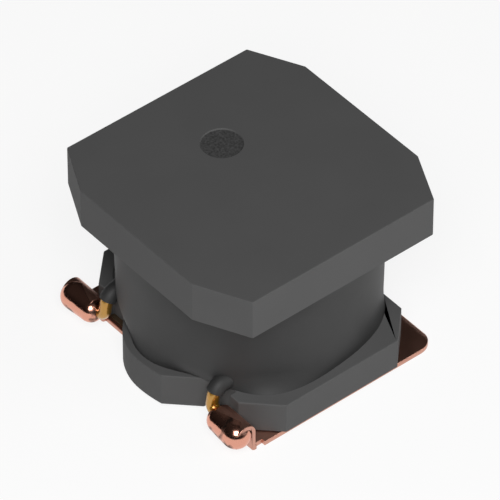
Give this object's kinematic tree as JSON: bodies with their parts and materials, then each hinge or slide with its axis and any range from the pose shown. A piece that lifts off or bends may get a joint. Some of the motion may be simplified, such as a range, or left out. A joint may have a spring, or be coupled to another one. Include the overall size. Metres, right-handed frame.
{
  "type": "shielded smd inductor",
  "caption": "Square surface-mount power inductor: ferrite drum core, resin-sealed winding, two copper terminals with welded leads.",
  "frame": {"origin": "on the board plane, under the axis of the drum core", "axes": "+Z away from the board, +X across the two terminals, -Y the side where both leads leave"},
  "size_m": [0.006, 0.006, 0.0044],
  "materials": {
    "ferrite": "matt, as sintered",
    "enamelled_wire": "glossy amber enamel over copper",
    "magnetic_resin": "matt, slightly mottled",
    "terminal_copper": "satin rolled copper",
    "weld_copper": "glossy, set from the melt",
    "epoxy": "cured film"
  },
  "bodies": {
    "root": {"drum_core": "ferrite", "winding": "enamelled_wire", "resin_shield": "magnetic_resin", "terminal_left": "terminal_copper", "terminal_right": "terminal_copper", "weld_bead_left": "weld_copper", "weld_bead_right": "weld_copper", "adhesive_left": "epoxy", "adhesive_right": "epoxy"}
  },
  "joints": []
}
